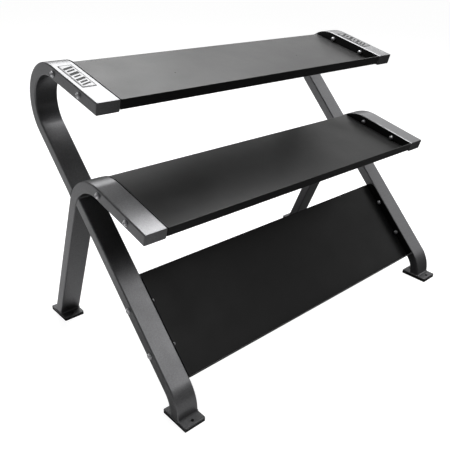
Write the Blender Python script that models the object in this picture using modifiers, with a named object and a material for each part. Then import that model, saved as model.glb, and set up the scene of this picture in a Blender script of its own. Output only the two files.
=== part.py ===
"""Three-tier dumbbell rack: two bent-tube side frames joined by three folded sheet-steel trays."""

import math

import bmesh
import bpy
from mathutils import Matrix, Vector

# Metres, +Z up. X runs along the trays, the front is -Y, and the origin is on the floor under the middle.
LENGTH = 1.3716
FOOT_SPREAD = 0.713
GAP = 0.0003

# Rectangular tube: the wide side faces along the path's flat, the deep side is seen from the end of the rack.
TUBE_WIDE = 0.0762
TUBE_DEEP = 0.0381
TUBE_WALL = 0.003
TUBE_CORNER = 0.0045
CORNER_STEPS = 2
BEND_STEP = math.radians(10)

# Side profile of a frame, as (y, z). The arms rise towards the rear.
ARM_TILT = math.radians(13.5)
LEG_TILT = math.radians(45)
REAR_LEG_TILT = math.radians(68.7)
UPPER_BEND = (0.2425, 0.8135)
UPPER_RADIUS = 0.1165
UPPER_STRAIGHT = 0.254
MIDDLE_BEND = (0.0317, 0.4831)
MIDDLE_RADIUS = 0.133
MIDDLE_STRAIGHT = 0.243
FOOT_RADIUS = 0.1165
FOOT_STRAIGHT = 0.0015
COPE_START = math.radians(80)

# Feet: a rubber pad, and on it a steel plate with an anchor hole in front of the tube and one behind it.
PAD_THICK = 0.008
PLATE_THICK = 0.0067
PLATE_LONG = 0.107
PLATE_WIDE = 0.0762
PLATE_EDGE = 0.0012
ANCHOR_RADIUS = 0.0055
ANCHOR_FROM_EDGE = 0.0150
PLATE_TOP = PAD_THICK + GAP + PLATE_THICK

# Arm caps: flat plates that close the front ends of the arms.
CAP_THICK = 0.003

# Trays: folded sheet, with a lip in front, a flange at each end and a return edge turned down behind.
SHEET = 0.0025
TRAY_DROP = 0.0336
TRAY_BELOW_TOP = 0.0006
LOWER_FLANGE_CORNER = 0.030
LEAST_FLANGE = 0.003
RETURN_DROP = 0.016
UPPER_TRAY_DEPTH = 0.330
MIDDLE_TRAY_DEPTH = 0.329
LOWER_TRAY_DEPTH = 0.352
LOWER_TRAY_START = 0.001
END_GAP = 0.0015
DRAIN_SPACING = 0.590
DRAIN_RADIUS = 0.0021
FOLD_ROUND = 0.0008

# Fasteners: a button-head bolt through tube and flange, a washer outside and a dome nut inside.
BOLT_SPACING = 0.147
BOLT_RADIUS = 0.0048
BOLT_HOLE = 0.0053
HEAD_RADIUS = 0.0088
HEAD_HIGH = 0.0050
WASHER_RADIUS = 0.0105
WASHER_THICK = 0.0018
NUT_FLATS = 0.0165
NUT_HEX_HIGH = 0.0065
NUT_HIGH = 0.0115
NUT_BORE_DEEP = 0.0088
NUT_SHOULDER = 0.0008
NUT_CHAMFER = 0.0012
BOLT_IN_NUT = 0.0075
ROUND_STEPS = 12
HEAD_CROWN = (0.45, 0.95, 1.45)
NUT_CROWN = (0.45, 0.9, 1.3)

# Name plates on the upper arms: blank, thin.
LABEL_LONG = 0.145
LABEL_WIDE = 0.045
LABEL_THICK = 0.0010
LABEL_FROM_END = 0.1695

# How far a cutter reaches beyond what it cuts.
SPARE = 0.010

FRAME_X = (LENGTH - TUBE_WIDE) / 2
SIDES = (("left", -1), ("right", 1))


def clear_scene():
    for obj in list(bpy.data.objects):
        bpy.data.objects.remove(obj, do_unlink=True)


def new_collection(name):
    collection = bpy.data.collections.new(name)
    bpy.context.scene.collection.children.link(collection)
    return collection


def make_material(name, colour, roughness, metallic):
    material = bpy.data.materials.new(name)
    material.use_nodes = True
    shader = material.node_tree.nodes["Principled BSDF"]
    shader.inputs["Base Color"].default_value = (*colour, 1)
    shader.inputs["Roughness"].default_value = roughness
    shader.inputs["Metallic"].default_value = metallic
    return material


clear_scene()
rack = new_collection("dumbbell_rack")
cutters = new_collection("cutters")

tube_paint = make_material("gunmetal_paint", (0.17, 0.17, 0.175), 0.35, 0.85)
tray_paint = make_material("black_powder_coat", (0.012, 0.012, 0.013), 0.5, 0.0)
foot_paint = make_material("foot_plate_paint", (0.06, 0.06, 0.062), 0.4, 0.7)
pad_rubber = make_material("black_rubber", (0.01, 0.01, 0.01), 0.8, 0.0)
zinc = make_material("bright_zinc", (0.75, 0.76, 0.78), 0.22, 1.0)
label_foil = make_material("label_foil", (0.62, 0.63, 0.65), 0.3, 0.9)


def on_circle(centre, radius, angle):
    return (centre[0] + radius * math.cos(angle), centre[1] + radius * math.sin(angle))


def along(point, angle, distance):
    return (point[0] + distance * math.cos(angle), point[1] + distance * math.sin(angle))


def arc(centre, radius, start, end):
    """Points from start to end inclusive, no further apart than BEND_STEP."""
    steps = math.ceil(abs(end - start) / BEND_STEP)
    return [on_circle(centre, radius, start + (end - start) * i / steps) for i in range(steps + 1)]


def place(mesh, name, material, matrix, collection=rack):
    obj = bpy.data.objects.new(name, mesh)
    collection.objects.link(obj)
    obj.matrix_world = matrix
    if material:
        mesh.materials.clear()
        mesh.materials.append(material)
    mesh.shade_smooth()
    mesh.set_sharp_from_angle(angle=math.radians(32))
    return obj


def as_cutter(obj):
    obj.hide_render = True
    obj.display_type = "WIRE"
    return obj


def cut(obj, cutter, operation="DIFFERENCE"):
    modifier = obj.modifiers.new(cutter.name, "BOOLEAN")
    modifier.operation = operation
    modifier.solver = "EXACT"
    modifier.object = cutter


def evaluated_mesh(obj):
    bpy.context.view_layer.update()
    graph = bpy.context.evaluated_depsgraph_get()
    return bpy.data.meshes.new_from_object(obj.evaluated_get(graph))


def rounded_rectangle(wide, deep, corner):
    """Outline as (across, along) points, anticlockwise, with CORNER_STEPS steps on each corner."""
    points = []
    for quarter, (across, up) in enumerate(((1, 1), (-1, 1), (-1, -1), (1, -1))):
        centre = (across * (wide / 2 - corner), up * (deep / 2 - corner))
        for step in range(CORNER_STEPS + 1):
            angle = math.pi / 2 * (quarter + step / CORNER_STEPS)
            points.append(on_circle(centre, corner, angle))
    return points


def poly_curve(name, points, closed):
    data = bpy.data.curves.new(name, "CURVE")
    data.dimensions = "3D"
    data.twist_mode = "Z_UP"
    spline = data.splines.new("POLY")
    spline.points.add(len(points) - 1)
    for spline_point, (first, second) in zip(spline.points, points):
        spline_point.co = (first, second, 0, 1)
    spline.use_cyclic_u = closed
    return data


def swept_mesh(path, outline, capped):
    """Sweeps the outline along a path that lies in the YZ plane. The path's own x is world y, its y is world z."""
    profile = bpy.data.objects.new("profile", poly_curve("profile", outline, True))
    rail_data = poly_curve("rail", path, False)
    rail_data.bevel_mode = "OBJECT"
    rail_data.bevel_object = profile
    rail_data.use_fill_caps = capped
    rail = bpy.data.objects.new("rail", rail_data)
    rack.objects.link(profile)
    rack.objects.link(rail)
    mesh = evaluated_mesh(rail)
    work = bmesh.new()
    work.from_mesh(mesh)
    bmesh.ops.remove_doubles(work, verts=work.verts, dist=0.00002)
    if capped:
        bmesh.ops.recalc_face_normals(work, faces=work.faces)
    work.to_mesh(mesh)
    work.free()
    bpy.data.objects.remove(rail)
    bpy.data.objects.remove(profile)
    mesh.transform(Matrix(((0, 0, 1, 0), (1, 0, 0, 0), (0, 1, 0, 0), (0, 0, 0, 1))))
    return mesh


def tube_mesh(path):
    """The middle of the tube's wall, swept; Solidify then gives it its wall."""
    middle_wide = TUBE_WIDE - TUBE_WALL
    middle_deep = TUBE_DEEP - TUBE_WALL
    outline = rounded_rectangle(middle_deep, middle_wide, TUBE_CORNER - TUBE_WALL / 2)
    return swept_mesh(path, outline, False)


def add_tube(name, mesh, side, openings):
    tube = place(mesh, name, tube_paint, Matrix.Translation((side * FRAME_X, 0, 0)))
    wall = tube.modifiers.new("wall", "SOLIDIFY")
    wall.thickness = TUBE_WALL
    wall.offset = 0
    wall.use_even_offset = True
    for opening in openings:
        cut(tube, opening)
    return tube


# Paths along the middle of the tubes.
arm_side = math.pi / 2 + ARM_TILT
cap_room = CAP_THICK + GAP
upper_bend_start = on_circle(UPPER_BEND, UPPER_RADIUS, arm_side)
upper_end = along(upper_bend_start, math.pi + ARM_TILT, UPPER_STRAIGHT)
middle_bend_start = on_circle(MIDDLE_BEND, MIDDLE_RADIUS, arm_side)
middle_end = along(middle_bend_start, math.pi + ARM_TILT, MIDDLE_STRAIGHT)
foot_y = FOOT_SPREAD / 2
base_z = PLATE_TOP + GAP
foot_bend = (FOOT_RADIUS - foot_y, base_z + FOOT_STRAIGHT)


def reach_middle_bend(start, angle):
    """Where a straight run at this angle meets the centreline of the middle bend."""
    way = Vector((math.cos(angle), math.sin(angle)))
    offset = Vector(start) - Vector(MIDDLE_BEND)
    nearest = -offset.dot(way)
    off_line = (offset + nearest * way).length
    half_chord = math.sqrt(MIDDLE_RADIUS**2 - off_line**2)
    return nearest, half_chord


def upper_path():
    """One point of the bend is at its very top, so the rack has its full height."""
    summit = math.pi / 2
    rise = arc(UPPER_BEND, UPPER_RADIUS, arm_side, summit)
    bend = [*rise[:-1], *arc(UPPER_BEND, UPPER_RADIUS, summit, -LEG_TILT)]
    nearest, half_chord = reach_middle_bend(bend[-1], math.pi + LEG_TILT)
    junction = along(bend[-1], math.pi + LEG_TILT, nearest - half_chord)
    return [along(upper_end, ARM_TILT, cap_room), *bend, junction]


def middle_path():
    """The rear leg runs on past the foot plate, and is trimmed level with it."""
    bend = arc(MIDDLE_BEND, MIDDLE_RADIUS, arm_side, math.pi / 2 - REAR_LEG_TILT)
    down = bend[-1][1] / math.sin(REAR_LEG_TILT) + TUBE_DEEP
    return [along(middle_end, ARM_TILT, cap_room), *bend, along(bend[-1], -REAR_LEG_TILT, down)]


def front_path():
    bend = arc(foot_bend, FOOT_RADIUS, math.pi, math.pi - LEG_TILT)
    nearest, half_chord = reach_middle_bend(bend[-1], LEG_TILT)
    junction = along(bend[-1], LEG_TILT, nearest + half_chord)
    return [(-foot_y, base_z), *bend, junction]


def tilted(origin, angle, x=0.0):
    """Frame with its own Y running up the slope and its own Z square to it."""
    return Matrix.Translation((x, *origin)) @ Matrix.Rotation(angle, 4, "X")


def above(point, angle, distance):
    return along(point, angle + math.pi / 2, distance)


# Tray frames start on the upper face of the tube that carries them, at its front end.
leg_start = on_circle(foot_bend, FOOT_RADIUS, math.pi - LEG_TILT)
upper_seat = above(upper_end, ARM_TILT, TUBE_DEEP / 2)
middle_seat = above(middle_end, ARM_TILT, TUBE_DEEP / 2)
lower_seat = above(along(leg_start, LEG_TILT, LOWER_TRAY_START), LEG_TILT, TUBE_DEEP / 2)


class Tier:
    """A tray's seat on the frames: where it starts, its slope, depth, first bolt and rounded rear corner."""

    def __init__(self, name, seat, tilt, depth, first_bolt, corner_start, corner_radius):
        self.name = name
        self.seat = seat
        self.tilt = tilt
        self.depth = depth
        self.bolts = (first_bolt, first_bolt + BOLT_SPACING)
        self.corner_start = corner_start
        self.corner_radius = corner_radius

    def frame(self, x=0.0):
        return tilted(self.seat, self.tilt, x)


# The upper and middle flanges follow the outside of the tube's bend; the lower ones have a small round corner.
half_tube = TUBE_DEEP / 2
lower_corner = LOWER_TRAY_DEPTH - LOWER_FLANGE_CORNER
tiers = (
    Tier("upper", upper_seat, ARM_TILT, UPPER_TRAY_DEPTH, 0.0915, UPPER_STRAIGHT, UPPER_RADIUS + half_tube),
    Tier("middle", middle_seat, ARM_TILT, MIDDLE_TRAY_DEPTH, 0.089, MIDDLE_STRAIGHT, MIDDLE_RADIUS + half_tube),
    Tier("lower", lower_seat, LEG_TILT, LOWER_TRAY_DEPTH, 0.110, lower_corner, LOWER_FLANGE_CORNER),
)


def cylinder_mesh(name, radius, length, sides=ROUND_STEPS):
    mesh = bpy.data.meshes.new(name)
    work = bmesh.new()
    bmesh.ops.create_cone(
        work, cap_ends=True, segments=sides, radius1=radius, radius2=radius, depth=length
    )
    work.to_mesh(mesh)
    work.free()
    return mesh


def box_mesh(name, size):
    mesh = bpy.data.meshes.new(name)
    work = bmesh.new()
    bmesh.ops.create_cube(work, size=1)
    bmesh.ops.scale(work, vec=size, verts=work.verts)
    work.to_mesh(mesh)
    work.free()
    return mesh


across = Matrix.Rotation(math.pi / 2, 4, "Y")
bolt_hole_mesh = cylinder_mesh("bolt_hole", BOLT_HOLE, TUBE_WIDE + 2 * SPARE)
anchor_hole_mesh = cylinder_mesh("anchor_hole", ANCHOR_RADIUS, PLATE_TOP + 2 * SPARE)


def bolt_place(tier, side, up_slope):
    """Centre of a bolt's run through the tube, in the tier's frame."""
    return tier.frame(side * FRAME_X) @ Matrix.Translation((0, up_slope, -TUBE_DEEP / 2))


def bolt_holes(tier, side):
    holes = []
    for number, up_slope in enumerate(tier.bolts):
        name = f"hole_{tier.name}_{side}_{number}"
        matrix = bolt_place(tier, side, up_slope) @ across
        holes.append(as_cutter(place(bolt_hole_mesh, name, None, matrix, cutters)))
    return holes


def cope(side):
    """The middle bend's outside with a gap all round, which the two runs that meet it are cut to."""
    path = arc(MIDDLE_BEND, MIDDLE_RADIUS, COPE_START, 0)
    outline = rounded_rectangle(TUBE_DEEP + 2 * GAP, TUBE_WIDE + 2 * SPARE, GAP)
    mesh = swept_mesh(path, outline, True)
    matrix = Matrix.Translation((side * FRAME_X, 0, 0))
    return as_cutter(place(mesh, f"cope_{side}", None, matrix, cutters))


def foot_trim(side):
    """Everything below the foot plate's upper face, to cut the slanted rear leg level."""
    matrix = Matrix.Translation((side * FRAME_X, foot_y, base_z - TUBE_WIDE / 2))
    mesh = box_mesh("trim", (2 * TUBE_WIDE, 2 * TUBE_WIDE, TUBE_WIDE))
    return as_cutter(place(mesh, f"trim_{side}", None, matrix, cutters))


def make_side_frames():
    meshes = [tube_mesh(path()) for path in (upper_path, middle_path, front_path)]
    names = ("upper_tube", "middle_tube", "front_leg")
    for word, side in SIDES:
        junction = cope(side)
        trims = (junction, foot_trim(side), junction)
        for mesh, name, tier, trim in zip(meshes, names, tiers, trims):
            add_tube(f"{name}_{word}", mesh, side, [trim, *bolt_holes(tier, side)])


def make_arm_caps():
    outline = rounded_rectangle(TUBE_DEEP, TUBE_WIDE, TUBE_CORNER)
    for tier, end in ((tiers[0], upper_end), (tiers[1], middle_end)):
        path = [end, along(end, ARM_TILT, CAP_THICK)]
        mesh = swept_mesh(path, outline, True)
        for word, side in SIDES:
            matrix = Matrix.Translation((side * FRAME_X, 0, 0))
            place(mesh, f"arm_cap_{tier.name}_{word}", tube_paint, matrix)


def slab_with_anchors(name, thick, height, material, x, y):
    slab = place(
        box_mesh(name, (PLATE_WIDE, PLATE_LONG, thick)), name, material, Matrix.Translation((x, y, height))
    )
    edge = slab.modifiers.new("edge", "BEVEL")
    edge.width = PLATE_EDGE
    edge.segments = 1
    for end in (-1, 1):
        matrix = Matrix.Translation((x, y + end * (PLATE_LONG / 2 - ANCHOR_FROM_EDGE), height))
        hole = place(anchor_hole_mesh, f"anchor_{name}_{end}", None, matrix, cutters)
        cut(slab, as_cutter(hole))


def make_feet():
    for word, side in SIDES:
        for row, y in (("front", -foot_y), ("rear", foot_y)):
            x = side * FRAME_X
            plate_middle = PLATE_TOP - PLATE_THICK / 2
            slab_with_anchors(f"foot_pad_{row}_{word}", PAD_THICK, PAD_THICK / 2, pad_rubber, x, y)
            slab_with_anchors(f"foot_plate_{row}_{word}", PLATE_THICK, plate_middle, foot_paint, x, y)


def flange_top(tier, front, rear, floor):
    """Upper edge of an end flange from the side, as (up the slope, above the tube's face), front to rear."""
    radius = tier.corner_radius - TRAY_BELOW_TOP
    centre = (tier.corner_start, -tier.corner_radius)
    at_rear = math.acos((rear - tier.corner_start) / radius)
    at_floor = math.asin((tier.corner_radius + floor + LEAST_FLANGE) / radius)
    return arc(centre, radius, math.pi / 2, max(at_rear, at_floor))


def tray_mesh(tier, half):
    """The middle of the sheet: floor, lip, two flanges and the return edge, joined along their folds."""
    floor = SHEET / 2 - TRAY_DROP
    front = SHEET / 2
    rear = tier.depth - SHEET / 2
    work = bmesh.new()

    def edge_across(y, z):
        return [work.verts.new((x, y, z)) for x in (-half, half)]

    near = edge_across(front, floor)
    far = edge_across(rear, floor)
    lip = edge_across(front, -TRAY_BELOW_TOP)
    drop = edge_across(rear, floor - RETURN_DROP)
    for first, second in ((near, far), (lip, near), (far, drop)):
        work.faces.new((first[0], first[1], second[1], second[0]))
    for end, x in enumerate((-half, half)):
        top = [work.verts.new((x, y, z)) for y, z in flange_top(tier, front, rear, floor)]
        work.faces.new((near[end], lip[end], *top, far[end]))
    bmesh.ops.recalc_face_normals(work, faces=work.faces)
    mesh = bpy.data.meshes.new(f"tray_{tier.name}")
    work.to_mesh(mesh)
    work.free()
    return mesh


def drain_holes(tier):
    """Only the upper tray has them."""
    mesh = cylinder_mesh("drain", DRAIN_RADIUS, 2 * SPARE)
    holes = []
    for side in (-1, 1):
        place_in_floor = Matrix.Translation((side * DRAIN_SPACING / 2, tier.depth / 2, -TRAY_DROP))
        hole = place(mesh, f"drain_{tier.name}_{side}", None, tier.frame() @ place_in_floor, cutters)
        holes.append(as_cutter(hole))
    return holes


def make_tray(tier):
    half = FRAME_X - TUBE_WIDE / 2 - END_GAP - SHEET / 2
    tray = place(tray_mesh(tier, half), f"tray_{tier.name}", tray_paint, tier.frame())
    sheet = tray.modifiers.new("sheet", "SOLIDIFY")
    sheet.thickness = SHEET
    sheet.offset = 0
    sheet.use_even_offset = True
    folds = tray.modifiers.new("folds", "BEVEL")
    folds.width = FOLD_ROUND
    folds.segments = 1
    folds.limit_method = "ANGLE"
    folds.angle_limit = math.radians(50)
    holes = drain_holes(tier) if tier.name == "upper" else []
    for word, side in SIDES:
        holes += [bpy.data.objects[f"hole_{tier.name}_{side}_{number}"] for number in range(2)]
    for hole in holes:
        cut(tray, hole)


def turned_object(name, profile, closed=False):
    """Spins a profile of (radius, height) points round Z. The profile runs down its outer side."""
    mesh = bpy.data.meshes.new(name)
    count = len(profile)
    edges = [(i, (i + 1) % count) for i in range(count if closed else count - 1)]
    mesh.from_pydata([(radius, 0, height) for radius, height in profile], edges, [])
    obj = bpy.data.objects.new(name, mesh)
    rack.objects.link(obj)
    screw = obj.modifiers.new("turn", "SCREW")
    screw.steps = ROUND_STEPS
    screw.render_steps = ROUND_STEPS
    screw.use_merge_vertices = True
    screw.merge_threshold = 0.00005
    return obj


def bake_and_remove(obj, *helpers):
    mesh = evaluated_mesh(obj)
    work = bmesh.new()
    work.from_mesh(mesh)
    bmesh.ops.recalc_face_normals(work, faces=work.faces)
    work.to_mesh(mesh)
    work.free()
    for helper in (obj, *helpers):
        bpy.data.objects.remove(helper)
    return mesh


def bolt_mesh():
    """Head upwards from z = 0, shank downwards through washer, tube and flange into the nut."""
    shank = WASHER_THICK + TUBE_WIDE + END_GAP + SHEET + 3 * GAP + BOLT_IN_NUT
    crown = [(HEAD_RADIUS * math.sin(a), HEAD_HIGH * (0.3 + 0.7 * math.cos(a))) for a in HEAD_CROWN]
    profile = [(0, HEAD_HIGH), *crown, (HEAD_RADIUS, 0), (BOLT_RADIUS, 0), (BOLT_RADIUS, -shank), (0, -shank)]
    return bake_and_remove(turned_object("bolt", profile))


def washer_mesh():
    bore = BOLT_RADIUS + GAP
    profile = [(bore, WASHER_THICK), (WASHER_RADIUS, WASHER_THICK), (WASHER_RADIUS, 0), (bore, 0)]
    return bake_and_remove(turned_object("washer", profile, closed=True))


def nut_mesh():
    """Dome nut: a turned blank with a blind bore, cut to six flats below its dome."""
    bore = BOLT_RADIUS + GAP
    corner = NUT_FLATS / 2 / math.cos(math.pi / 6)
    dome = NUT_FLATS / 2 - NUT_SHOULDER
    dome_high = NUT_HIGH - NUT_HEX_HIGH
    crown = [(dome * math.sin(a), NUT_HEX_HIGH + dome_high * math.cos(a)) for a in NUT_CROWN]
    shoulder = NUT_HEX_HIGH - NUT_CHAMFER
    outside = [(0, NUT_HIGH), *crown, (dome, NUT_HEX_HIGH), (corner, shoulder), (corner, 0)]
    blank = turned_object("nut", [*outside, (bore, 0), (bore, NUT_BORE_DEEP), (0, NUT_BORE_DEEP)])
    flats = bpy.data.objects.new("flats", cylinder_mesh("flats", corner, 3 * NUT_HIGH, 6))
    rack.objects.link(flats)
    cut(blank, flats, "INTERSECT")
    return bake_and_remove(blank, flats)


def make_fasteners():
    bolt = bolt_mesh()
    washer = washer_mesh()
    nut = nut_mesh()
    for tier in tiers:
        for word, side in SIDES:
            outward = Matrix.Rotation(side * math.pi / 2, 4, "Y")
            inward = Matrix.Rotation(-side * math.pi / 2, 4, "Y")
            for number, up_slope in enumerate(tier.bolts, start=1):
                hole = bolt_place(tier, side, up_slope)
                outer_face = Matrix.Translation((side * (TUBE_WIDE / 2 + GAP), 0, 0))
                head_seat = Matrix.Translation((side * (TUBE_WIDE / 2 + 2 * GAP + WASHER_THICK), 0, 0))
                nut_seat = Matrix.Translation((-side * (TUBE_WIDE / 2 + END_GAP + SHEET + GAP), 0, 0))
                spot = f"{tier.name}_{word}_{number}"
                place(washer, f"washer_{spot}", zinc, hole @ outer_face @ outward)
                place(bolt, f"bolt_{spot}", zinc, hole @ head_seat @ outward)
                place(nut, f"nut_{spot}", zinc, hole @ nut_seat @ inward)


def make_labels():
    mesh = box_mesh("label", (LABEL_WIDE, LABEL_LONG, LABEL_THICK))
    for word, side in SIDES:
        lift = Matrix.Translation((0, LABEL_FROM_END, GAP + LABEL_THICK / 2))
        place(mesh, f"label_plate_{word}", label_foil, tiers[0].frame(side * FRAME_X) @ lift)


make_side_frames()
make_arm_caps()
make_feet()
for each_tier in tiers:
    make_tray(each_tier)
make_fasteners()
make_labels()
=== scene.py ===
import math

import bmesh
import bpy
from mathutils import Matrix, Vector


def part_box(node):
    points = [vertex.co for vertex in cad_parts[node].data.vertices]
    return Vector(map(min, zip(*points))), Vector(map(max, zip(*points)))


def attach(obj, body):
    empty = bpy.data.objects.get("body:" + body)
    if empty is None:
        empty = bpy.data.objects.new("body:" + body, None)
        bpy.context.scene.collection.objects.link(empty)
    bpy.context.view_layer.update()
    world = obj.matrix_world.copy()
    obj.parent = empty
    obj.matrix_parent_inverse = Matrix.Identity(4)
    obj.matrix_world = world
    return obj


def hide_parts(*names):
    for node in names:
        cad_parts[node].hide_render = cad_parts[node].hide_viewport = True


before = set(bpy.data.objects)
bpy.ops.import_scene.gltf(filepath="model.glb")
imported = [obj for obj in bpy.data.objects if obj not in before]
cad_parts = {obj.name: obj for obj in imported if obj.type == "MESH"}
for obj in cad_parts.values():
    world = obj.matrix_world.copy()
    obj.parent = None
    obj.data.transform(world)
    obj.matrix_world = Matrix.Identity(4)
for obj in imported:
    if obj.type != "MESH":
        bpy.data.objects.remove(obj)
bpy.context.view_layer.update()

# Metres, +Z up, the front of the rack is -Y. Settings give tilts and bevel angles in degrees,
# and the steps of a crown in radians.
sides = (("left", -1), ("right", 1))
tube = {
    "wide": 0.0762, "deep": 0.0381, "corner": 0.0045, "cornerSteps": 6, "bendStep": 2.0,
    "copeExtra": 0.02, "copeCorner": 0.0005,
}
arms = {"tilt": 13.5, "capThick": 0.0030, "gap": 0.0003}
upperBend = {"centre": (0.2425, 0.8135), "radius": 0.1165, "straight": 0.254, "legTilt": 45.0}
middleBend = {"centre": (0.0317, 0.4831), "radius": 0.133, "straight": 0.243, "legTilt": 68.7}
footBend = {"radius": 0.1165, "straight": 0.0015, "tilt": 45.0}


def nodeMiddle(node):
    low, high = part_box(node)
    return (Vector(low) + Vector(high)) / 2


railX = nodeMiddle("middle_tube_right").x
footY = nodeMiddle("foot_plate_rear_right").y
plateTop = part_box("foot_plate_rear_right")[1][2]
baseZ = plateTop + arms["gap"]


def onCircle(centre, radius, angle):
    return (centre[0] + radius * math.cos(angle), centre[1] + radius * math.sin(angle))


def stepAlong(point, angle, distance):
    return (point[0] + distance * math.cos(angle), point[1] + distance * math.sin(angle))


def arcPoints(centre, radius, start, end, stepAngle):
    count = math.ceil(abs(end - start) / math.radians(stepAngle))
    return [onCircle(centre, radius, start + (end - start) * i / count) for i in range(count + 1)]


def roundedOutline(wide, deep, corner, steps):
    points = []
    for quarter, (across, up) in enumerate(((1, 1), (-1, 1), (-1, -1), (1, -1))):
        middle = (across * (wide / 2 - corner), up * (deep / 2 - corner))
        for step in range(steps + 1):
            points.append(onCircle(middle, corner, math.pi / 2 * (quarter + step / steps)))
    return points


def meshFrom(name, work):
    mesh = bpy.data.meshes.new(name)
    bmesh.ops.recalc_face_normals(work, faces=work.faces)
    work.to_mesh(mesh)
    work.free()
    return mesh


def bridge(work, first, second):
    count = len(first)
    for i in range(count):
        work.faces.new((first[i], first[(i + 1) % count], second[(i + 1) % count], second[i]))


def sweep(path, outline):
    # the outline is carried along a path of (y, z) points, and both ends are closed
    work = bmesh.new()
    rings = []
    last = len(path) - 1
    for i, point in enumerate(path):
        here = Vector(point)
        back = (here - Vector(path[i - 1])).normalized() if i else None
        ahead = (Vector(path[i + 1]) - here).normalized() if i < last else None
        way = ((back or ahead) + (ahead or back)).normalized()
        stretch = 1 / way.dot(back or ahead)
        rings.append([
            work.verts.new((x, here.x - up * way.y * stretch, here.y + up * way.x * stretch))
            for x, up in outline
        ])
    for first, second in zip(rings, rings[1:]):
        bridge(work, first, second)
    work.faces.new(rings[0])
    work.faces.new(rings[-1][::-1])
    return work


def spin(profile, steps):
    # (radius, height) points turned round Z, closed where the radius is zero
    work = bmesh.new()
    rings = []
    for radius, height in profile:
        if radius == 0:
            rings.append([work.verts.new((0, 0, height))])
            continue
        turns = (2 * math.pi * i / steps for i in range(steps))
        ring = [(radius * math.cos(a), radius * math.sin(a), height) for a in turns]
        rings.append([work.verts.new(point) for point in ring])
    for first, second in zip(rings, rings[1:]):
        if len(first) == 1 or len(second) == 1:
            tip, ring = (first[0], second) if len(first) == 1 else (second[0], first)
            for i in range(steps):
                work.faces.new((tip, ring[i], ring[(i + 1) % steps]))
        else:
            bridge(work, first, second)
    if rings[0][0] is not rings[-1][0] and len(rings[0]) > 1 and len(rings[-1]) > 1:
        bridge(work, rings[-1], rings[0])
    return work


def boxWork(size):
    work = bmesh.new()
    bmesh.ops.create_cube(work, size=1)
    bmesh.ops.scale(work, vec=size, verts=work.verts)
    return work


def prism(radius, height, count, middle=0.0):
    work = bmesh.new()
    bmesh.ops.create_cone(
        work, cap_ends=True, segments=count, radius1=radius, radius2=radius, depth=height
    )
    bmesh.ops.translate(work, vec=(0, 0, middle), verts=work.verts)
    return work


def newObject(name, mesh):
    piece = bpy.data.objects.new(name, mesh)
    bpy.context.scene.collection.objects.link(piece)
    return piece


def addBoolean(piece, cutter, operation="DIFFERENCE"):
    change = piece.modifiers.new(cutter.name, "BOOLEAN")
    change.operation = operation
    change.solver = "EXACT"
    change.object = cutter


def addBevel(piece, width, segments, angle):
    soften = piece.modifiers.new("soften", "BEVEL")
    soften.width = width
    soften.segments = segments
    soften.limit_method = "ANGLE"
    soften.angle_limit = math.radians(angle)


def bake(piece, *helpers):
    # applies the modifiers and drops the helper objects
    bpy.context.view_layer.update()
    graph = bpy.context.evaluated_depsgraph_get()
    mesh = bpy.data.meshes.new_from_object(piece.evaluated_get(graph))
    for old in (piece, *helpers):
        bpy.data.objects.remove(old)
    return mesh


sharpAngle = 35.0


def addPiece(name, mesh, material, nodes=(), matrix=None):
    # the matrix goes into the mesh, so that a tilted piece keeps a close box
    if matrix is not None:
        mesh.transform(matrix)
    piece = newObject(name, mesh)
    mesh.materials.clear()
    mesh.materials.append(material)
    mesh.shade_smooth()
    mesh.set_sharp_from_angle(angle=math.radians(sharpAngle))
    evenNormals = piece.modifiers.new("evenNormals", "WEIGHTED_NORMAL")
    evenNormals.keep_sharp = True
    bpy.context.view_layer.update()
    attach(piece, "root")
    if nodes:
        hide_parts(*nodes)
    return piece


def atRail(side):
    return Matrix.Translation((side * railX, 0, 0))


def newGroup(name, inputs, outputs):
    group = bpy.data.node_groups.new(name, "ShaderNodeTree")
    for label, value in inputs:
        socket = group.interface.new_socket(
            name=label, in_out="INPUT", socket_type="NodeSocketFloat"
        )
        socket.default_value = value
    for label in outputs:
        group.interface.new_socket(
            name=label, in_out="OUTPUT", socket_type="NodeSocketFloat"
        )
    return group, group.nodes.new("NodeGroupInput"), group.nodes.new("NodeGroupOutput")


def mathNode(tree, operation, first, second, clamp=False):
    node = tree.nodes.new("ShaderNodeMath")
    node.operation = operation
    node.use_clamp = clamp
    for socket, value in zip(node.inputs, (first, second)):
        if isinstance(value, (int, float)):
            socket.default_value = value
        else:
            tree.links.new(value, socket)
    return node.outputs[0]


def noiseNode(tree, vector, scale, detail, rough):
    node = tree.nodes.new("ShaderNodeTexNoise")
    tree.links.new(vector, node.inputs["Vector"])
    tree.links.new(scale, node.inputs["Scale"])
    node.inputs["Detail"].default_value = detail
    node.inputs["Roughness"].default_value = rough
    return node.outputs["Fac"]


def rangeNode(tree, value, fromLow, fromHigh, toLow, toHigh):
    node = tree.nodes.new("ShaderNodeMapRange")
    tree.links.new(value, node.inputs["Value"])
    limits = {"From Min": fromLow, "From Max": fromHigh, "To Min": toLow, "To Max": toHigh}
    for label, number in limits.items():
        node.inputs[label].default_value = number
    return node.outputs["Result"]


patterns = {
    # noise detail and roughness, then the part of it that is spread from least to 1
    "flake": {"detail": 3.0, "rough": 0.65, "low": 0.32, "high": 0.68, "least": 0.0},
    "cloud": {"detail": 3.0, "rough": 0.55, "low": 0.3, "high": 0.7, "least": 0.0},
    "rubbed": {"detail": 4.0, "rough": 0.6, "low": 0.4, "high": 0.62, "least": 0.15},
    "film": {"detail": 4.0, "rough": 0.6, "low": 0.35, "high": 0.7, "least": 0.2},
    "speck": {"detail": 1.0, "rough": 0.5, "low": 0.55, "high": 0.72, "least": 0.5},
}
skinNoise = {"detail": 1.5, "rough": 0.5}
edgeTurn = {"samples": 4, "low": 0.02, "high": 0.25}
facingUp = {"low": 0.55, "high": 1.0}


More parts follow.
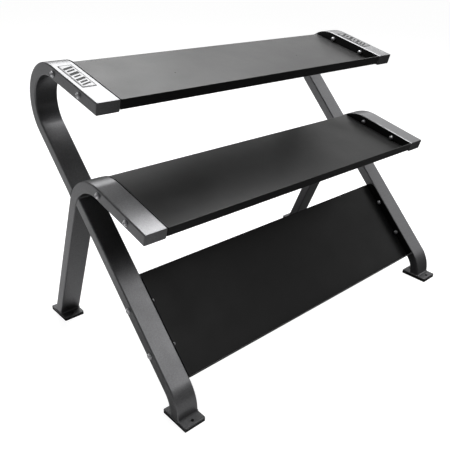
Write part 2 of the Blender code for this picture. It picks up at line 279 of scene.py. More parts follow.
def patternNode(tree, place, scale, look):
    noise = noiseNode(tree, place, scale, look["detail"], look["rough"])
    return rangeNode(tree, noise, look["low"], look["high"], look["least"], 1.0)


def buildGrainGroup():
    # mottled coat: fine flake, broad clouds and a height for the skin of the paint
    inputs = (("Flake Scale", 420.0), ("Cloud Scale", 9.0), ("Skin Scale", 700.0))
    group, given, result = newGroup("coatGrain", inputs, ("Flake", "Cloud", "Skin"))
    place = group.nodes.new("ShaderNodeTexCoord").outputs["Object"]
    flake = patternNode(group, place, given.outputs["Flake Scale"], patterns["flake"])
    cloud = patternNode(group, place, given.outputs["Cloud Scale"], patterns["cloud"])
    skin = noiseNode(group, place, given.outputs["Skin Scale"], *skinNoise.values())
    for label, value in (("Flake", flake), ("Cloud", cloud), ("Skin", skin)):
        group.links.new(value, result.inputs[label])
    return group


def buildWearGroup():
    # edges rubbed brighter, broken up so that no edge is worn evenly
    inputs = (("Radius", 0.0015), ("Amount", 1.0), ("Breakup", 60.0))
    group, given, result = newGroup("edgeWear", inputs, ("Mask",))
    rounded = group.nodes.new("ShaderNodeBevel")
    rounded.samples = edgeTurn["samples"]
    group.links.new(given.outputs["Radius"], rounded.inputs["Radius"])
    geometry = group.nodes.new("ShaderNodeNewGeometry")
    facing = group.nodes.new("ShaderNodeVectorMath")
    facing.operation = "DOT_PRODUCT"
    group.links.new(rounded.outputs[0], facing.inputs[0])
    group.links.new(geometry.outputs["Normal"], facing.inputs[1])
    turned = mathNode(group, "SUBTRACT", 1.0, facing.outputs["Value"])
    edge = rangeNode(group, turned, edgeTurn["low"], edgeTurn["high"], 0.0, 1.0)
    place = group.nodes.new("ShaderNodeTexCoord").outputs["Object"]
    patches = patternNode(group, place, given.outputs["Breakup"], patterns["rubbed"])
    worn = mathNode(group, "MULTIPLY", edge, patches)
    mask = mathNode(group, "MULTIPLY", worn, given.outputs["Amount"], clamp=True)
    group.links.new(mask, result.inputs["Mask"])
    return group


def buildDustAndTopLightGroup():
    # a thin film on faces that look up: partly settled dust, partly painted top light that lightens
    # upward faces
    inputs = (("Amount", 0.3), ("Scale", 14.0), ("Speck Scale", 900.0))
    group, given, result = newGroup("dustAndPaintedTopLight", inputs, ("Mask",))
    geometry = group.nodes.new("ShaderNodeNewGeometry")
    split = group.nodes.new("ShaderNodeSeparateXYZ")
    group.links.new(geometry.outputs["Normal"], split.inputs[0])
    upward = rangeNode(group, split.outputs["Z"], facingUp["low"], facingUp["high"], 0.0, 1.0)
    place = group.nodes.new("ShaderNodeTexCoord").outputs["Object"]
    film = patternNode(group, place, given.outputs["Scale"], patterns["film"])
    specks = patternNode(group, place, given.outputs["Speck Scale"], patterns["speck"])
    settledAndLit = mathNode(group, "MULTIPLY", mathNode(group, "MULTIPLY", upward, film), specks)
    mask = mathNode(group, "MULTIPLY", settledAndLit, given.outputs["Amount"], clamp=True)
    group.links.new(mask, result.inputs["Mask"])
    return group


grainGroup = buildGrainGroup()
wearGroup = buildWearGroup()
dustAndTopLightGroup = buildDustAndTopLightGroup()


def useGroup(tree, group, **values):
    node = tree.nodes.new("ShaderNodeGroup")
    node.node_tree = group
    for label, value in values.items():
        node.inputs[label.replace("_", " ")].default_value = value
    return node.outputs


def blendColours(tree, factor, first, second):
    node = tree.nodes.new("ShaderNodeMix")
    node.data_type = "RGBA"
    tree.links.new(factor, node.inputs["Factor"])
    for label, colour in (("A", first), ("B", second)):
        socket = next(s for s in node.inputs if s.name == label and s.type == "RGBA")
        if isinstance(colour, tuple):
            socket.default_value = (*colour, 1)
        else:
            tree.links.new(colour, socket)
    return next(s for s in node.outputs if s.type == "RGBA")


def buildCoat(name, look):
    material = bpy.data.materials.new(name)
    material.use_nodes = True
    tree = material.node_tree
    shader = tree.nodes["Principled BSDF"]
    grain = useGroup(
        tree, grainGroup,
        Flake_Scale=look["flakeScale"], Cloud_Scale=look["cloudScale"],
        Skin_Scale=look["skinScale"],
    )
    wear = useGroup(
        tree, wearGroup,
        Radius=look["wearRadius"], Amount=look["wearAmount"], Breakup=look["wearBreakup"],
    )
    # this mask lightens faces that look up: partly real dust, partly painted light falling from
    # above
    dustAndTopLight = useGroup(tree, dustAndTopLightGroup, Amount=look["dustAndTopLight"])
    colour = blendColours(tree, grain["Flake"], look["dark"], look["light"])
    colour = blendColours(tree, wear["Mask"], colour, look["worn"])
    colour = blendColours(tree, dustAndTopLight["Mask"], colour, look["dustAndTopLightColour"])
    tree.links.new(colour, shader.inputs["Base Color"])
    low, high = look["roughness"]
    rough = rangeNode(tree, grain["Cloud"], 0.0, 1.0, low, high)
    flakeShare = mathNode(tree, "MULTIPLY", grain["Flake"], look["flakeRoughness"])
    tree.links.new(mathNode(tree, "ADD", rough, flakeShare), shader.inputs["Roughness"])
    shader.inputs["Metallic"].default_value = look["metallic"]
    shader.inputs["Specular IOR Level"].default_value = look["specular"]
    shader.inputs["Sheen Weight"].default_value = look["sheen"]
    shader.inputs["Sheen Roughness"].default_value = look["sheenRoughness"]
    bump = tree.nodes.new("ShaderNodeBump")
    bump.inputs["Strength"].default_value = look["bump"]
    bump.inputs["Distance"].default_value = look["bumpDepth"]
    tree.links.new(grain["Skin"], bump.inputs["Height"])
    tree.links.new(bump.outputs["Normal"], shader.inputs["Normal"])
    return material


coatBase = {
    "flakeScale": 260.0, "cloudScale": 9.0, "skinScale": 480.0,
    "wearRadius": 0.0015, "wearAmount": 0.35, "wearBreakup": 60.0,
    "dustAndTopLight": 0.0, "dustAndTopLightColour": (0.30, 0.29, 0.27),
    "flakeRoughness": 0.05, "metallic": 0.0, "specular": 0.5,
    "sheen": 0.0, "sheenRoughness": 0.35, "bump": 0.25, "bumpDepth": 0.0002,
}
tubePaint = buildCoat("gunmetalPaint", {
    **coatBase,
    "dark": (0.16, 0.16, 0.165), "light": (0.21, 0.21, 0.215), "worn": (0.3, 0.3, 0.31),
    "roughness": (0.28, 0.36), "metallic": 0.9, "bump": 0.12,
})
trayCoat = buildCoat("blackPowderCoat", {
    **coatBase,
    "dark": (0.0018, 0.0018, 0.0019), "light": (0.0042, 0.0042, 0.0044),
    "worn": (0.012, 0.012, 0.0125), "flakeScale": 700.0, "skinScale": 620.0,
    "roughness": (0.32, 0.4), "specular": 0.2, "sheen": 0.3,
    # the dust amount partly stands for dust and partly paints light onto the tray's upward faces
    "bump": 0.3, "dustAndTopLight": 0.02, "wearAmount": 0.25,
})
platePaint = buildCoat("footPlatePaint", {
    **coatBase,
    "dark": (0.07, 0.07, 0.072), "light": (0.11, 0.11, 0.113), "worn": (0.2, 0.2, 0.21),
    # the dust amount partly stands for dust and partly paints light onto the plate's top face
    "roughness": (0.36, 0.46), "metallic": 0.7, "wearAmount": 0.6, "dustAndTopLight": 0.05,
})
padRubber = buildCoat("blackRubber", {
    **coatBase,
    "dark": (0.008, 0.008, 0.008), "light": (0.014, 0.014, 0.014), "worn": (0.03, 0.03, 0.03),
    "roughness": (0.7, 0.85), "specular": 0.3, "bump": 0.5, "skinScale": 900.0,
})
# one zinc in two copies: a lighter one for the bolts and washers on the lit outer face, a darker
# one for the nuts on the shaded inner face, painted light and painted shade
zincBase = {**coatBase, "flakeScale": 900.0, "cloudScale": 120.0, "metallic": 1.0, "bump": 0.06}
zincLitCopy = buildCoat("zincLitCopy", {
    **zincBase,
    "dark": (0.62, 0.62, 0.64), "light": (0.76, 0.76, 0.78), "worn": (0.88, 0.88, 0.88),
    "roughness": (0.2, 0.32),
})
zincShadedCopy = buildCoat("zincShadedCopy", {
    **zincBase,
    "dark": (0.34, 0.34, 0.35), "light": (0.48, 0.48, 0.49), "worn": (0.6, 0.6, 0.61),
    "roughness": (0.32, 0.44),
})
labelFoil = buildCoat("labelFoil", {
    **coatBase,
    "dark": (0.15, 0.15, 0.153), "light": (0.19, 0.19, 0.193), "worn": (0.3, 0.3, 0.3),
    "roughness": (0.28, 0.34), "metallic": 0.9, "bump": 0.05,
})
labelInk = buildCoat("labelInk", {
    **coatBase,
    "dark": (0.02, 0.02, 0.021), "light": (0.035, 0.035, 0.036), "worn": (0.06, 0.06, 0.06),
    "roughness": (0.5, 0.6), "specular": 0.1, "bump": 0.05,
})
print("materials made")


armTilt = math.radians(arms["tilt"])
armSide = math.pi / 2 + armTilt
capRoom = arms["capThick"] + arms["gap"]
halfDeep = tube["deep"] / 2


def armEnd(bend):
    start = onCircle(bend["centre"], bend["radius"], armSide)
    return stepAlong(start, math.pi + armTilt, bend["straight"])


upperEnd, middleEnd = armEnd(upperBend), armEnd(middleBend)
footCentre = (footBend["radius"] - footY, baseZ + footBend["straight"])
legAngle = math.radians(footBend["tilt"])
legStart = onCircle(footCentre, footBend["radius"], math.pi - legAngle)


def meetMiddleBend(start, angle, offset, radius, far):
    # distance along a run, offset sideways, to a circle round the middle bend's centre
    way = Vector((math.cos(angle), math.sin(angle)))
    across = Vector((-way.y, way.x))
    away = Vector(start) + across * offset - Vector(middleBend["centre"])
    nearest = -away.dot(way)
    offLine = (away + way * nearest).length
    chord = math.sqrt(radius ** 2 - offLine ** 2)
    return nearest + chord if far else nearest - chord


def runPoint(start, angle, offset, distance):
    return stepAlong(stepAlong(start, angle + math.pi / 2, offset), angle, distance)


outline = roundedOutline(tube["wide"], tube["deep"], tube["corner"], tube["cornerSteps"])
upperLegTilt = math.radians(upperBend["legTilt"])
middleLegTilt = math.radians(middleBend["legTilt"])
upperArc = arcPoints(
    upperBend["centre"], upperBend["radius"], armSide, -upperLegTilt, tube["bendStep"]
)
middleArc = arcPoints(
    middleBend["centre"], middleBend["radius"], armSide, math.pi / 2 - middleLegTilt,
    tube["bendStep"],
)
footArc = arcPoints(footCentre, footBend["radius"], math.pi, math.pi - legAngle, tube["bendStep"])
upperRun = math.pi + upperLegTilt
rearRun = -middleLegTilt


def buildMiddleTube():
    down = middleArc[-1][1] / math.sin(-rearRun) + tube["deep"]
    start = stepAlong(middleEnd, armTilt, capRoom)
    path = [start, *middleArc, stepAlong(middleArc[-1], rearRun, down)]
    work = sweep(path, outline)
    everything = list(work.verts) + list(work.edges) + list(work.faces)
    cut = bmesh.ops.bisect_plane(
        work, geom=everything, plane_co=(0, 0, baseZ), plane_no=(0, 0, -1), clear_outer=True
    )
    rim = [edge for edge in cut["geom_cut"] if isinstance(edge, bmesh.types.BMEdge)]
    bmesh.ops.holes_fill(work, edges=rim)
    return meshFrom("middleTube", work)


def copedTube(name, path):
    # the run's end is cut to the outside of the middle bend
    run = newObject(name, meshFrom(name, sweep(path, outline)))
    wide = roundedOutline(tube["wide"] + tube["copeExtra"], tube["deep"], tube["copeCorner"], 1)
    cutter = newObject("cope", meshFrom("cope", sweep(middleArc, wide)))
    addBoolean(run, cutter)
    return bake(run, cutter)


def buildUpperTube():
    reach = meetMiddleBend(upperArc[-1], upperRun, 0, middleBend["radius"], False)
    start = stepAlong(upperEnd, armTilt, capRoom)
    path = [start, *upperArc, stepAlong(upperArc[-1], upperRun, reach)]
    return copedTube("upperTube", path)


def buildFrontLeg():
    reach = meetMiddleBend(footArc[-1], legAngle, 0, middleBend["radius"], True)
    path = [(-footY, baseZ), *footArc, stepAlong(footArc[-1], legAngle, reach)]
    return copedTube("frontLeg", path)


upperMesh = buildUpperTube()
middleMesh = buildMiddleTube()
frontMesh = buildFrontLeg()
for word, side in sides:
    for title, mesh in (
        ("upper_tube", upperMesh), ("middle_tube", middleMesh), ("front_leg", frontMesh),
    ):
        node = f"{title}_{word}"
        skin = f"{title}_skin_{word}"
        addPiece(skin, mesh.copy(), tubePaint, [node], atRail(side))
print("tubes swept")

cap = {"edge": 0.0007, "edgeSteps": 2, "edgeAngle": 50}


def buildCap(end):
    ends = [end, stepAlong(end, armTilt, capRoom)]
    blank = newObject("cap", meshFrom("cap", sweep(ends, outline)))
    addBevel(blank, cap["edge"], cap["edgeSteps"], cap["edgeAngle"])
    return bake(blank)


for level, end in (("upper", upperEnd), ("middle", middleEnd)):
    capMesh = buildCap(end)
    for word, side in sides:
        node = f"arm_cap_{level}_{word}"
        addPiece(f"{node}_plate", capMesh.copy(), tubePaint, [node], atRail(side))

weld = {
    "radius": 0.0030, "ripple": 0.16, "pitch": 0.0038, "around": 10, "sideRadius": 0.0026,
    "sunk": 0.0018, "endInset": 0.002, "footShare": 0.9, "leastRipples": 8, "ringsPerRipple": 4,
    "taperFrom": 0.35, "taperRate": 0.75, "seamStep": 2, "notAlong": (0.31, 0.52, 0.79),
}


def addBead(work, points, radius, closed=False):
    # a rippled bead along a line of points
    points = [Vector(point) for point in points]
    if closed:
        points.append(points[0])
    lengths = [(b - a).length for a, b in zip(points, points[1:])]
    total = sum(lengths)
    count = max(weld["leastRipples"], round(total / weld["pitch"])) * weld["ringsPerRipple"]
    rings = []
    for i in range(count + 1 - closed):
        distance = total * i / count
        walked, leg = 0.0, 0
        while leg < len(lengths) - 1 and walked + lengths[leg] < distance:
            walked += lengths[leg]
            leg += 1
        here = points[leg].lerp(points[leg + 1], (distance - walked) / lengths[leg])
        way = (points[leg + 1] - points[leg]).normalized()
        first = way.cross(Vector(weld["notAlong"])).normalized()
        second = way.cross(first)
        swell = 1 + weld["ripple"] * math.cos(2 * math.pi * distance / weld["pitch"])
        fromEnd = min(distance, total - distance)
        taper = 1 if closed else min(1, weld["taperFrom"] + weld["taperRate"] * fromEnd / radius)
        size = radius * swell * taper
        turns = (2 * math.pi * k / weld["around"] for k in range(weld["around"]))
        spokes = [first * math.cos(a) + second * math.sin(a) for a in turns]
        rings.append([work.verts.new(here + size * spoke) for spoke in spokes])
    for ringA, ringB in zip(rings, rings[1:]):
        bridge(work, ringA, ringB)
    if closed:
        bridge(work, rings[-1], rings[0])
    else:
        work.faces.new(rings[0])
        work.faces.new(rings[-1][::-1])


def buildJunctionWelds():
    work = bmesh.new()
    halfWide = tube["wide"] / 2
    outer = middleBend["radius"] + halfDeep
    inner = middleBend["radius"] - halfDeep
    halfBead = halfWide - weld["endInset"]
    for start, angle, radius, far in (
        (upperArc[-1], upperRun, outer, False), (footArc[-1], legAngle, inner, True),
    ):
        corners = []
        for offset in (halfDeep, -halfDeep):
            reach = meetMiddleBend(start, angle, offset, radius, far)
            y, z = runPoint(start, angle, offset, reach)
            corners.append(math.atan2(z - middleBend["centre"][1], y - middleBend["centre"][0]))
            addBead(work, [(-halfBead, y, z), (halfBead, y, z)], weld["radius"])
        for end in (-1, 1):
            x = end * (halfWide - weld["sunk"])
            low, high = sorted(corners)
            seam = arcPoints(middleBend["centre"], radius, low, high, weld["seamStep"])
            addBead(work, [(x, y, z) for y, z in seam], weld["sideRadius"])
    return meshFrom("junctionWelds", work)


def buildFootWeld(deep, y):
    work = bmesh.new()
    ring = roundedOutline(tube["wide"], deep, tube["corner"], 3)
    line = [(x, y + up, plateTop) for x, up in ring]
    addBead(work, line, weld["radius"] * weld["footShare"], closed=True)
    return meshFrom("footWeld", work)


junctionMesh = buildJunctionWelds()
rearFootY = stepAlong(middleArc[-1], rearRun, (middleArc[-1][1] - plateTop) / math.sin(-rearRun))[0]
footWelds = {
    "front": buildFootWeld(tube["deep"], -footY),
    "rear": buildFootWeld(tube["deep"] / math.sin(-rearRun), rearFootY),
}
for word, side in sides:
    beads = {f"junction_welds_{word}": junctionMesh}
    beads.update({f"foot_weld_{row}_{word}": mesh for row, mesh in footWelds.items()})
    for name, mesh in beads.items():
        addPiece(name, mesh.copy(), tubePaint, matrix=atRail(side))
print("welds laid")

foot = {
    "plateEdge": 0.0013, "padEdge": 0.0018, "edgeSteps": 3, "edgeAngle": 40,
    "corner": 0.003, "cornerSteps": 4, "holeRadius": 0.0055, "holeInset": 0.015, "holeSteps": 40,
}


def buildFootSlab(node, edge):
    low, high = (Vector(corner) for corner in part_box(node))
    size = high - low
    slab = newObject("slab", meshFrom("slab", boxWork(size)))
    upright = slab.modifiers.new("corners", "BEVEL")
    upright.width = foot["corner"]
    upright.segments = foot["cornerSteps"]
    upright.limit_method = "WEIGHT"
    weights = slab.data.attributes.new("bevel_weight_edge", "FLOAT", "EDGE")
    for line in slab.data.edges:
        ends = [slab.data.vertices[i].co for i in line.vertices]
        weights.data[line.index].value = float(abs(ends[0].z - ends[1].z) > size.z / 2)
    addBevel(slab, edge, foot["edgeSteps"], foot["edgeAngle"])
    holes = []
    for end in (-1, 1):
        hole = prism(foot["holeRadius"], 3 * size.z, foot["holeSteps"])
        drill = newObject("drill", meshFrom("drill", hole))
        drill.location.y = end * (size.y / 2 - foot["holeInset"])
        holes.append(drill)
        addBoolean(slab, drill)
    mesh = bake(slab, *holes)
    mesh.transform(Matrix.Translation((low + high) / 2))
    return mesh


for word, side in sides:
    for row in ("front", "rear"):
        for kind, edge, material, slotName in (
            ("foot_plate", foot["plateEdge"], platePaint, "foot_plate_paint"),
            ("foot_pad", foot["padEdge"], padRubber, "pad_rubber"),
        ):
            node = f"{kind}_{row}_{word}"
            slabMesh = buildFootSlab(node, edge)
            addPiece(f"{node}_shaped", slabMesh, material, [node])
print("feet made")


sheet = {
    "thick": 0.0025, "drop": 0.0336, "belowTop": 0.0006, "leastFlange": 0.003, "returnDrop": 0.016,
    "fold": 0.0026, "foldSteps": 4, "foldAngle": 50, "rim": 0.0005, "rimSteps": 2, "rimAngle": 60,
    "endGap": 0.0015, "flangeStep": 3, "drainSpacing": 0.590, "drainRadius": 0.0021,
    "drainSteps": 40, "drillLong": 0.02,
}
lower = {"tilt": 45.0, "fromFoot": 0.001, "depth": 0.352, "corner": 0.030}
lowerTilt = math.radians(lower["tilt"])


def seatOf(end, angle, distance=0.0):
    return stepAlong(stepAlong(end, angle, distance), angle + math.pi / 2, halfDeep)


trays = {
    "upper": {
        "seat": seatOf(upperEnd, armTilt),
        "tilt": armTilt, "depth": 0.330, "drains": True,
        "cornerStart": upperBend["straight"], "cornerRadius": upperBend["radius"] + halfDeep,
    },
    "middle": {
        "seat": seatOf(middleEnd, armTilt),
        "tilt": armTilt, "depth": 0.329, "drains": False,
        "cornerStart": middleBend["straight"], "cornerRadius": middleBend["radius"] + halfDeep,
    },
    "lower": {
        "seat": seatOf(legStart, lowerTilt, lower["fromFoot"]),
        "tilt": lowerTilt, "depth": lower["depth"], "drains": False,
        "cornerStart": lower["depth"] - lower["corner"], "cornerRadius": lower["corner"],
    },
}


def trayFrame(spec):
    return Matrix.Translation((0, *spec["seat"])) @ Matrix.Rotation(spec["tilt"], 4, "X")


def flangeEdge(spec, rear, floor):
    # the flange's top line follows the tube's bend, down to the floor or the rear edge
    radius = spec["cornerRadius"] - sheet["belowTop"]
    centre = (spec["cornerStart"], -spec["cornerRadius"])
    atRear = math.acos((rear - spec["cornerStart"]) / radius)
    atFloor = math.asin((spec["cornerRadius"] + floor + sheet["leastFlange"]) / radius)
    return arcPoints(centre, radius, math.pi / 2, max(atRear, atFloor), sheet["flangeStep"])


def buildTray(spec):
    half = railX - tube["wide"] / 2 - sheet["endGap"] - sheet["thick"] / 2
    floor = sheet["thick"] / 2 - sheet["drop"]
    front = sheet["thick"] / 2
    rear = spec["depth"] - sheet["thick"] / 2
    work = bmesh.new()

    def edgeAcross(y, z):
        return [work.verts.new((x, y, z)) for x in (-half, half)]

    near, far = edgeAcross(front, floor), edgeAcross(rear, floor)
    lip, drop = edgeAcross(front, -sheet["belowTop"]), edgeAcross(rear, floor - sheet["returnDrop"])
    for first, second in ((near, far), (lip, near), (far, drop)):
        work.faces.new((first[0], first[1], second[1], second[0]))
    for end, x in enumerate((-half, half)):
        top = [work.verts.new((x, y, z)) for y, z in flangeEdge(spec, rear, floor)]
        work.faces.new((near[end], lip[end], *top, far[end]))
    tray = newObject("tray", meshFrom("tray", work))
    folds = tray.modifiers.new("folds", "BEVEL")
    folds.width = sheet["fold"]
    folds.segments = sheet["foldSteps"]
    folds.limit_method = "ANGLE"
    folds.angle_limit = math.radians(sheet["foldAngle"])
    thicken = tray.modifiers.new("thicken", "SOLIDIFY")
    thicken.thickness = sheet["thick"]
    thicken.offset = 0
    thicken.use_even_offset = True
    drills = []
    for end in (-1, 1) if spec["drains"] else ():
        hole = prism(sheet["drainRadius"], sheet["drillLong"], sheet["drainSteps"])
        drill = newObject("drill", meshFrom("drill", hole))
        drill.location = (end * sheet["drainSpacing"] / 2, spec["depth"] / 2, floor)
        drills.append(drill)
        addBoolean(tray, drill)
    addBevel(tray, sheet["rim"], sheet["rimSteps"], sheet["rimAngle"])
    return bake(tray, *drills)


for level, spec in trays.items():
    node = f"tray_{level}"
    addPiece(f"{node}_folded", buildTray(spec), trayCoat, [node], trayFrame(spec))
print("trays folded")


bolt = {
    "shank": 0.0048, "head": 0.0088, "high": 0.0050, "socket": 0.0033, "socketDeep": 0.0028,
    "steps": 48, "crownLow": 0.3, "crown": (0.2, 0.4, 0.6, 0.8, 1.0, 1.2, 1.35, 1.5),
    "rimInset": 0.0002, "rimHigh": 0.0003, "seatInset": 0.0005, "tipChamfer": 0.0008,
    "edge": 0.00018, "edgeSteps": 2, "edgeAngle": 50,
}
washer = {"radius": 0.0105, "bore": 0.0051, "thick": 0.0018, "edge": 0.0003}
nut = {
    "flats": 0.0165, "hexHigh": 0.0065, "high": 0.0115, "chamfer": 0.0012, "bore": 0.0051,
    "boreDeep": 0.0088, "domeInset": 0.0010, "edge": 0.0002, "edgeSteps": 2, "edgeAngle": 25,
    "crown": (0.15, 0.35, 0.55, 0.75, 0.95, 1.15, 1.35, 1.5),
}
fastenerSpin = {"byNumber": 7, "byLength": 13, "most": 60}


def buildBolt(length):
    # head upwards from z = 0, shank downwards
    low = bolt["crownLow"]
    crown = [
        (bolt["head"] * math.sin(a), bolt["high"] * (low + (1 - low) * math.cos(a)))
        for a in bolt["crown"]
    ]
    rim = [
        (bolt["head"] - bolt["rimInset"], bolt["rimHigh"]),
        (bolt["head"] - bolt["seatInset"], 0), (bolt["shank"], 0),
    ]
    tip = [
        (bolt["shank"], -length + bolt["tipChamfer"]),
        (bolt["shank"] - bolt["tipChamfer"], -length), (0, -length),
    ]
    profile = [(0, bolt["high"]), *crown, *rim, *tip]
    blank = newObject("bolt", meshFrom("bolt", spin(profile, bolt["steps"])))
    hexagon = prism(bolt["socket"], 2 * bolt["socketDeep"], 6, bolt["high"])
    socket = newObject("socket", meshFrom("socket", hexagon))
    addBoolean(blank, socket)
    addBevel(blank, bolt["edge"], bolt["edgeSteps"], bolt["edgeAngle"])
    return bake(blank, socket)


def buildWasher():
    edge, top = washer["edge"], washer["thick"]
    inside, outside = washer["bore"], washer["radius"]
    profile = [
        (inside, top - edge), (inside + edge, top), (outside - edge, top), (outside, top - edge),
        (outside, edge), (outside - edge, 0), (inside + edge, 0), (inside, edge),
    ]
    return meshFrom("washer", spin(profile, bolt["steps"]))


def buildNut():
    corner = nut["flats"] / 2 / math.cos(math.pi / 6)
    dome = nut["flats"] / 2 - nut["domeInset"]
    domeHigh = nut["high"] - nut["hexHigh"]
    crown = [
        (dome * math.sin(a), nut["hexHigh"] + domeHigh * math.cos(a))
        for a in nut["crown"]
    ]
    shoulder = [(dome, nut["hexHigh"]), (corner, nut["hexHigh"] - nut["chamfer"])]
    outside = [(0, nut["high"]), *crown, *shoulder]
    base = [(corner, nut["chamfer"] / 2), (corner - nut["chamfer"], 0), (nut["bore"], 0)]
    hollow = [(nut["bore"], nut["boreDeep"]), (0, nut["boreDeep"])]
    profile = [*outside, *base, *hollow]
    blank = newObject("nut", meshFrom("nut", spin(profile, bolt["steps"])))
    flats = newObject("flats", meshFrom("flats", prism(corner, 3 * nut["high"], 6)))
    addBoolean(blank, flats, "INTERSECT")
    addBevel(blank, nut["edge"], nut["edgeSteps"], nut["edgeAngle"])
    return bake(blank, flats)


def fastenerPlace(node, side, tilt, outward, seatHigh):
    # the piece's own Z points away from the tube, and its far end meets the node's far end
    low, high = (Vector(corner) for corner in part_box(node))
    middle = (low + high) / 2
    away = side if outward else -side
    x = (high.x if away > 0 else low.x) - away * seatHigh
    turn = Matrix.Rotation(away * math.pi / 2, 4, "Y")
    number, length = ord(node[-1]), len(node)
    angle = fastenerSpin["byNumber"] * number + fastenerSpin["byLength"] * length
    spun = Matrix.Rotation(math.radians(angle % fastenerSpin["most"]), 4, "Z")
    leaned = Matrix.Rotation(tilt, 4, "X")
    return Matrix.Translation((x, middle.y, middle.z)) @ leaned @ turn @ spun


boltLow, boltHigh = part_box("bolt_upper_right_1")
boltMesh = buildBolt(boltHigh[0] - boltLow[0] - bolt["high"])
washerMesh = buildWasher()
nutMesh = buildNut()
for level, spec in trays.items():
    for word, side in sides:
        for number in (1, 2):
            spot = f"{level}_{word}_{number}"
            for kind, mesh, material, outward, seatHigh in (
                # the outer bolts and washers take the lit zinc copy, the inner nuts the shaded
                # copy: painted light and shade
                ("bolt", boltMesh, zincLitCopy, True, bolt["high"]),
                ("washer", washerMesh, zincLitCopy, True, washer["thick"]),
                ("nut", nutMesh, zincShadedCopy, False, nut["high"]),
            ):
                node = f"{kind}_{spot}"
                matrix = fastenerPlace(node, side, spec["tilt"], outward, seatHigh)
                addPiece(f"{node}_turned", mesh.copy(), material, [node], matrix)
print("fasteners set")


label = {
    "long": 0.145, "wide": 0.045, "thick": 0.0010, "fromEnd": 0.1695,
    "corner": 0.0012, "cornerSteps": 3, "edge": 0.0002, "edgeSteps": 2, "edgeAngle": 50,
    "inkHigh": 0.00012, "inkSunk": 0.00005, "frameInset": 0.0012, "frameWide": 0.0020,
    "slant": 0.35,
    # each bar: middle along the plate, length along it, width across it
    "bars": (
        (-0.055, 0.008, 0.032), (-0.040, 0.009, 0.026), (-0.023, 0.012, 0.034),
        (-0.004, 0.008, 0.024), (0.014, 0.014, 0.034), (0.034, 0.009, 0.028),
        (0.051, 0.012, 0.034),
    ),
}


def buildLabel():
    work = bmesh.new()
    ring = roundedOutline(label["wide"], label["long"], label["corner"], label["cornerSteps"])
    for height in (-label["thick"] / 2, label["thick"] / 2):
        work.faces.new([work.verts.new((x, y, height)) for x, y in ring])
    work.faces.ensure_lookup_table()
    low, high = (list(face.verts) for face in work.faces)
    bridge(work, low, high)
    plate = newObject("label", meshFrom("label", work))
    addBevel(plate, label["edge"], label["edgeSteps"], label["edgeAngle"])
    return bake(plate)


def addSlab(work, corners, low, high):
    bottom = [work.verts.new((x, y, low)) for x, y in corners]
    top = [work.verts.new((x, y, high)) for x, y in corners]
    bridge(work, bottom, top)
    work.faces.new(bottom)
    work.faces.new(top)


def buildPrint():
    # a thin line round the plate and plain slanted bars, with no lettering
    work = bmesh.new()
    low = label["thick"] / 2 - label["inkSunk"]
    high = label["thick"] / 2 + label["inkHigh"]
    halfX = label["wide"] / 2 - label["frameInset"]
    halfY = label["long"] / 2 - label["frameInset"]
    line = label["frameWide"]
    for sign in (-1, 1):
        x0, x1 = sorted((sign * halfX, sign * (halfX - line)))
        addSlab(work, [(x0, -halfY), (x1, -halfY), (x1, halfY), (x0, halfY)], low, high)
        y0, y1 = sorted((sign * halfY, sign * (halfY - line)))
        inner = halfX - line - label["inkSunk"]
        addSlab(work, [(-inner, y0), (inner, y0), (inner, y1), (-inner, y1)], low, high)
    for middle, long, wide in label["bars"]:
        lean = label["slant"] * wide / 2
        start, stop = middle - long / 2, middle + long / 2
        corners = [
            (-wide / 2, start - lean), (wide / 2, start + lean),
            (wide / 2, stop + lean), (-wide / 2, stop - lean),
        ]
        addSlab(work, corners, low, high)
    return meshFrom("print", work)


labelMesh = buildLabel()
printMesh = buildPrint()
for word, side in sides:
    high = arms["gap"] + label["thick"] / 2
    lift = Matrix.Translation((side * railX, label["fromEnd"], high))
    matrix = trayFrame(trays["upper"]) @ lift
    node = f"label_plate_{word}"
    addPiece(f"{node}_foil", labelMesh.copy(), labelFoil, [node], matrix)
    addPiece(f"label_print_{word}", printMesh.copy(), labelInk, matrix=matrix)
print("labels placed")


# the camera sees an evenly bright floor; all other rays see a grey floor that fades from lighter on
# the left to darker on the right, a painted falloff of light across the floor
floorLook = {
    "size": 60.0, "glow": 0.93, "seen": (0.30, 0.30, 0.30),
    "falloffLeft": (0.6, 0.6, 0.6), "falloffRight": (0.06, 0.06, 0.06), "turnFrom": -0.7, "turnTo": 0.2,
}


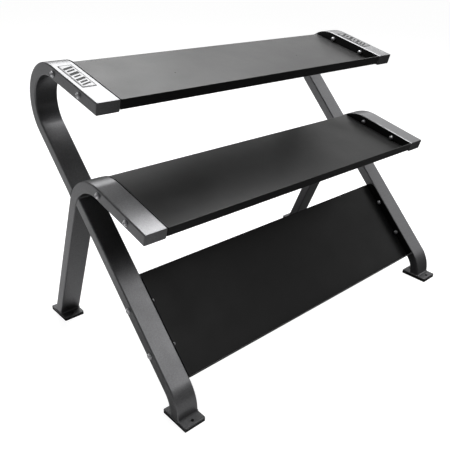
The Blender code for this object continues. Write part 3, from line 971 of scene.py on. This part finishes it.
def buildFloor():
    work = bmesh.new()
    bmesh.ops.create_grid(work, x_segments=1, y_segments=1, size=floorLook["size"] / 2)
    floor = newObject("studio_floor", meshFrom("studio_floor", work))
    material = bpy.data.materials.new("paleFloor")
    material.use_nodes = True
    tree = material.node_tree
    tree.nodes.remove(tree.nodes["Principled BSDF"])
    output = tree.nodes["Material Output"]
    shadowed = tree.nodes.new("ShaderNodeBsdfDiffuse")
    shadowed.inputs["Color"].default_value = (*floorLook["seen"], 1)
    glow = tree.nodes.new("ShaderNodeEmission")
    glow.inputs["Strength"].default_value = floorLook["glow"]
    seen = tree.nodes.new("ShaderNodeAddShader")
    tree.links.new(shadowed.outputs[0], seen.inputs[0])
    tree.links.new(glow.outputs[0], seen.inputs[1])
    dim = tree.nodes.new("ShaderNodeBsdfDiffuse")
    split = tree.nodes.new("ShaderNodeSeparateXYZ")
    tree.links.new(tree.nodes.new("ShaderNodeTexCoord").outputs["Object"], split.inputs[0])
    # painted light falloff: the floor colour for reflections runs from lighter at the left to
    # darker at the right
    turnFrom, turnTo = floorLook["turnFrom"], floorLook["turnTo"]
    across = rangeNode(tree, split.outputs["X"], turnFrom, turnTo, 0.0, 1.0)
    paintedFalloffColour = blendColours(tree, across, floorLook["falloffLeft"], floorLook["falloffRight"])
    tree.links.new(paintedFalloffColour, dim.inputs["Color"])
    choose = tree.nodes.new("ShaderNodeMixShader")
    path = tree.nodes.new("ShaderNodeLightPath")
    tree.links.new(path.outputs["Is Camera Ray"], choose.inputs[0])
    tree.links.new(dim.outputs[0], choose.inputs[1])
    tree.links.new(seen.outputs[0], choose.inputs[2])
    tree.links.new(choose.outputs[0], output.inputs["Surface"])
    floor.data.materials.append(material)


worldLevel = 0.17


def buildWorld(strength):
    world = bpy.data.worlds.new("studio")
    world.use_nodes = True
    bpy.context.scene.world = world
    tree = world.node_tree
    background = tree.nodes["Background"]
    background.inputs["Color"].default_value = (1, 1, 1, 1)
    path = tree.nodes.new("ShaderNodeLightPath")
    level = rangeNode(tree, path.outputs["Is Camera Ray"], 0.0, 1.0, strength, 1.0)
    tree.links.new(level, background.inputs["Strength"])


softboxes = {
    # name: centre, aim, width, height, radiance
    "overheadNear": ((0.95, 0.65, 2.9), (0.95, 0.65, 0.0), 2.1, 2.2, 8.6),
    "overheadFar": ((0.95, 2.85, 2.9), (0.95, 2.85, 0.0), 2.1, 2.2, 4.4),
    "frontRight": ((0.9, -2.3, 2.4), (-0.4, -0.1, 0.4), 1.6, 1.6, 1.55),
    "rightRear": ((3.3, 2.2, 2.6), (0.5, 0.2, 0.8), 1.6, 1.6, 1.2),
    "rightMiddle": ((3.5, 0.95, 2.15), (0.6, 0.0, 0.8), 1.2, 1.2, 1.15),
    "rightFront": ((3.3, -1.7, 1.7), (0.6, -0.25, 0.2), 1.8, 1.6, 0.85),
    "rightHigh": ((3.3, -0.6, 2.6), (0.65, 0.2, 0.65), 1.2, 1.0, 1.2),
    "overFront": ((0.5, -0.75, 2.85), (-0.65, 0.2, 0.65), 1.2, 0.8, 1.3),
    "leftRear": ((-2.2, 3.2, 0.9), (-0.69, 0.2, 0.6), 3.0, 1.6, 0.4),
}


def addSoftbox(name, centre, aim, wide, high, radiance):
    light = bpy.data.lights.new(name, "AREA")
    light.shape = "RECTANGLE"
    light.size = wide
    light.size_y = high
    light.energy = radiance * math.pi * wide * high
    holder = bpy.data.objects.new(name, light)
    bpy.context.scene.collection.objects.link(holder)
    holder.location = centre
    holder.rotation_euler = (Vector(aim) - Vector(centre)).to_track_quat("-Z", "Y").to_euler()


buildFloor()
buildWorld(worldLevel)
for name, settings in softboxes.items():
    addSoftbox(name, *settings)

view = {
    "place": (-1.4442, -1.3738, 1.2727), "right": (0.74348, -0.66822, 0.02700),
    "up": (0.27596, 0.34331, 0.89777), "lens": 45.87, "sensor": 36,
}


def buildCamera():
    camera = bpy.data.cameras.new("camera")
    camera.lens = view["lens"]
    camera.sensor_width = view["sensor"]
    holder = bpy.data.objects.new("camera", camera)
    bpy.context.scene.collection.objects.link(holder)
    right, up = Vector(view["right"]), Vector(view["up"])
    turn = Matrix((right, up, right.cross(up))).transposed()
    holder.matrix_world = Matrix.Translation(view["place"]) @ turn.to_4x4()
    bpy.context.scene.camera = holder


buildCamera()
bpy.context.scene.view_settings.view_transform = "Standard"
print("studio ready")
